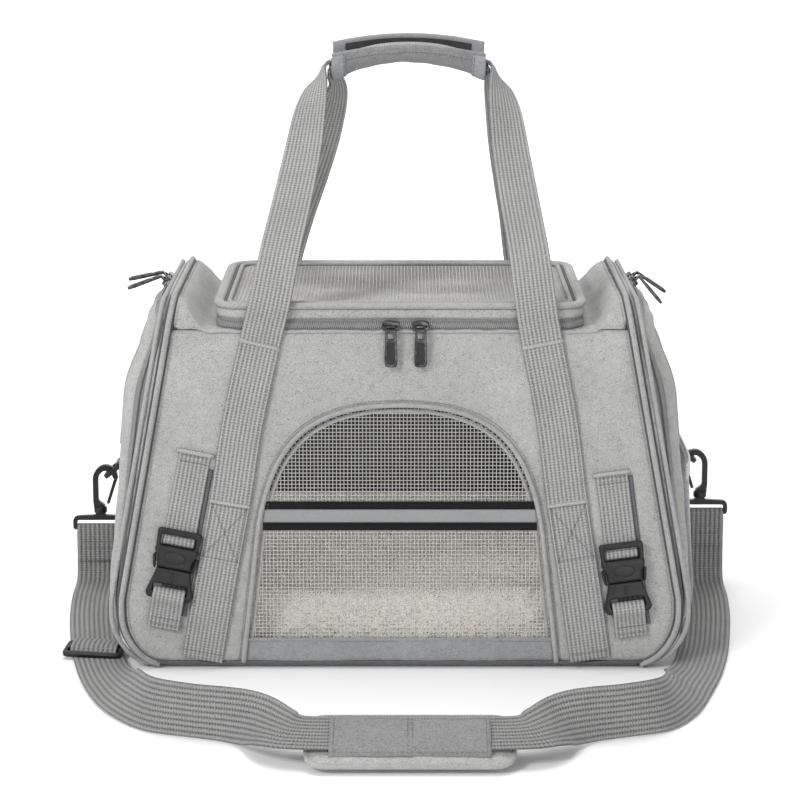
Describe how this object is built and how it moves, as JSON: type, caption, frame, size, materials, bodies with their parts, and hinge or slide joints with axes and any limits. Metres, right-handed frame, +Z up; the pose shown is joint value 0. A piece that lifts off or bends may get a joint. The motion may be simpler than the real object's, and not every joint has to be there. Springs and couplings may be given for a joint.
{
  "type": "pet carrier bag",
  "caption": "Soft-sided pet carrier bag with a mesh lid, arched mesh windows, end doors, twin webbing handles with a padded grip, side buckles and a clip-on shoulder strap.",
  "frame": {"origin": "the middle of the underside of the base, on the surface the bag stands on", "axes": "+X to the right along the bag seen from the front, +Y from the front panel to the back panel, +Z up"},
  "size_m": [0.57, 0.5278, 0.488],
  "materials": {
    "heather_fabric": "light grey heather polyester, matt",
    "band_fabric": "blue grey heather polyester, matt",
    "piping_fabric": "grey piping, matt",
    "window_net": "open square net, coated",
    "webbing": "ribbed mid grey webbing",
    "buckle_plastic": "black acetal, satin",
    "zip_metal": "gunmetal plated zinc",
    "fleece": "cream sherpa fleece",
    "base_stiffener": "fabric covered board",
    "reflective_tape": "grey reflective tape between black edges"
  },
  "bodies": {
    "bag": {"top_panel": "heather_fabric", "front_panel": "heather_fabric", "back_panel": "heather_fabric", "left_end_frame": "heather_fabric", "right_end_frame": "heather_fabric", "shoulder_pad": "heather_fabric", "base_panel": "band_fabric", "left_piping": "piping_fabric", "right_piping": "piping_fabric", "front_window_net": "window_net", "front_left_handle_foot": "webbing", "front_right_handle_foot": "webbing", "back_left_handle_foot": "webbing", "back_right_handle_foot": "webbing", "left_upper_web": "webbing", "right_upper_web": "webbing", "left_lower_web": "webbing", "right_lower_web": "webbing", "left_ring_tab": "webbing", "right_ring_tab": "webbing", "shoulder_strap": "webbing", "left_buckle_tongue": "buckle_plastic", "right_buckle_tongue": "buckle_plastic", "left_d_ring": "buckle_plastic", "right_d_ring": "buckle_plastic", "left_strap_eye": "buckle_plastic", "right_strap_eye": "buckle_plastic", "base_board": "base_stiffener", "reflective_strip": "reflective_tape"},
    "lid": {"lid_frame": "heather_fabric", "lid_net": "window_net"},
    "left_door": {"left_door": "heather_fabric", "left_door_net": "window_net"},
    "right_door": {"right_door": "heather_fabric", "right_door_net": "window_net", "net_pocket": "window_net"},
    "front_loop": {"front_handle": "webbing"},
    "back_loop": {"back_handle": "webbing", "grip_wrap": "heather_fabric"},
    "mat": {"fleece_mat": "fleece"},
    "adjuster": {"strap_slide": "buckle_plastic"},
    "lid_left_slider": {"lid_left_slider": "zip_metal"},
    "lid_left_pull": {"lid_left_pull": "zip_metal"},
    "lid_right_slider": {"lid_right_slider": "zip_metal"},
    "lid_right_pull": {"lid_right_pull": "zip_metal"},
    "left_front_slider": {"left_front_slider": "zip_metal"},
    "left_front_pull": {"left_front_pull": "zip_metal"},
    "left_back_slider": {"left_back_slider": "zip_metal"},
    "left_back_pull": {"left_back_pull": "zip_metal"},
    "left_lock": {"left_buckle_lock": "buckle_plastic"},
    "left_hook": {"left_hook": "buckle_plastic"},
    "left_gate": {"left_hook_gate": "buckle_plastic"},
    "right_front_slider": {"right_front_slider": "zip_metal"},
    "right_front_pull": {"right_front_pull": "zip_metal"},
    "right_back_slider": {"right_back_slider": "zip_metal"},
    "right_back_pull": {"right_back_pull": "zip_metal"},
    "right_lock": {"right_buckle_lock": "buckle_plastic"},
    "right_hook": {"right_hook": "buckle_plastic"},
    "right_gate": {"right_hook_gate": "buckle_plastic"}
  },
  "joints": [
    {"name": "lid_hinge", "type": "hinge", "parent": "bag", "child": "lid", "pos_m": [0, 0.117, 0.268], "axis": [-1, 0, 0], "range_deg": [0, 170]},
    {"name": "left_door_hinge", "type": "hinge", "parent": "bag", "child": "left_door", "pos_m": [-0.221, 0, 0.021], "axis": [0, -1, 0], "range_deg": [0, 90]},
    {"name": "right_door_hinge", "type": "hinge", "parent": "bag", "child": "right_door", "pos_m": [0.221, 0, 0.021], "axis": [0, 1, 0], "range_deg": [0, 90]},
    {"name": "front_handle_fold", "type": "hinge", "parent": "bag", "child": "front_loop", "pos_m": [0, -0.1185, 0.2585], "axis": [1, 0, 0], "range_deg": [0, 170]},
    {"name": "back_handle_fold", "type": "hinge", "parent": "bag", "child": "back_loop", "pos_m": [0, 0.1185, 0.2585], "axis": [-1, 0, 0], "range_deg": [0, 170]},
    {"name": "mat_lift", "type": "slide", "parent": "bag", "child": "mat", "axis": [0, 0, 1], "range_m": [0, 0.1]},
    {"name": "adjuster_slide", "type": "slide", "parent": "bag", "child": "adjuster", "axis": [0.1703, -0.9854, 0], "range_m": [-0.045, 0]},
    {"name": "lid_left_zip", "type": "slide", "parent": "lid", "child": "lid_left_slider", "axis": [-1, 0, 0], "range_m": [0, 0.07]},
    {"name": "lid_left_pull_swing", "type": "hinge", "parent": "lid_left_slider", "child": "lid_left_pull", "pos_m": [-0.007, -0.1227, 0.2625], "axis": [-1, 0, 0], "range_deg": [0, 170]},
    {"name": "lid_right_zip", "type": "slide", "parent": "lid", "child": "lid_right_slider", "axis": [1, 0, 0], "range_m": [0, 0.064]},
    {"name": "lid_right_pull_swing", "type": "hinge", "parent": "lid_right_slider", "child": "lid_right_pull", "pos_m": [0.016, -0.1227, 0.2625], "axis": [-1, 0, 0], "range_deg": [0, 170]},
    {"name": "left_front_zip", "type": "slide", "parent": "left_door", "child": "left_front_slider", "axis": [0, -1, 0], "range_m": [0, 0.05]},
    {"name": "left_front_pull_swing", "type": "hinge", "parent": "left_front_slider", "child": "left_front_pull", "pos_m": [-0.19505, -0.011, 0.2915], "axis": [0, -1, 0], "range_deg": [-60, 43]},
    {"name": "left_back_zip", "type": "slide", "parent": "left_door", "child": "left_back_slider", "axis": [0, 1, 0], "range_m": [0, 0.03]},
    {"name": "left_back_pull_swing", "type": "hinge", "parent": "left_back_slider", "child": "left_back_pull", "pos_m": [-0.19509, 0.009, 0.29164], "axis": [0, -1, 0], "range_deg": [-60, 52]},
    {"name": "left_buckle_release", "type": "slide", "parent": "bag", "child": "left_lock", "axis": [0.1889, 0.095, 0.9774], "range_m": [0, 0.022], "deforming": ["left_upper_web"]},
    {"name": "left_hook_swivel", "type": "hinge", "parent": "bag", "child": "left_hook", "pos_m": [-0.261, 0.109, 0.063], "axis": [0, 0, 1], "range_deg": [-12, 12]},
    {"name": "left_gate_hinge", "type": "hinge", "parent": "left_hook", "child": "left_gate", "pos_m": [-0.2542, 0.109, 0.0715], "axis": [0, -1, 0], "range_deg": [0, 13], "stiffness_Nm_per_rad": 0.02},
    {"name": "right_front_zip", "type": "slide", "parent": "right_door", "child": "right_front_slider", "axis": [0, -1, 0], "range_m": [0, 0.05]},
    {"name": "right_front_pull_swing", "type": "hinge", "parent": "right_front_slider", "child": "right_front_pull", "pos_m": [0.19475, -0.011, 0.29107], "axis": [0, 1, 0], "range_deg": [-60, 13]},
    {"name": "right_back_zip", "type": "slide", "parent": "right_door", "child": "right_back_slider", "axis": [0, 1, 0], "range_m": [0, 0.03]},
    {"name": "right_back_pull_swing", "type": "hinge", "parent": "right_back_slider", "child": "right_back_pull", "pos_m": [0.19493, 0.009, 0.29127], "axis": [0, 1, 0], "range_deg": [-60, 29]},
    {"name": "right_buckle_release", "type": "slide", "parent": "bag", "child": "right_lock", "axis": [-0.1296, 0.0959, 0.9869], "range_m": [0, 0.022], "deforming": ["right_upper_web"]},
    {"name": "right_hook_swivel", "type": "hinge", "parent": "bag", "child": "right_hook", "pos_m": [0.261, 0.109, 0.077], "axis": [0, 0, 1], "range_deg": [-12, 12]},
    {"name": "right_gate_hinge", "type": "hinge", "parent": "right_hook", "child": "right_gate", "pos_m": [0.2542, 0.109, 0.0855], "axis": [0, 1, 0], "range_deg": [0, 13], "stiffness_Nm_per_rad": 0.02}
  ],
  "couplings": [
    {"joint": "front_handle_fold", "follows": "lid_hinge", "ratio": 1},
    {"joint": "back_handle_fold", "follows": "lid_hinge", "ratio": 1}
  ]
}
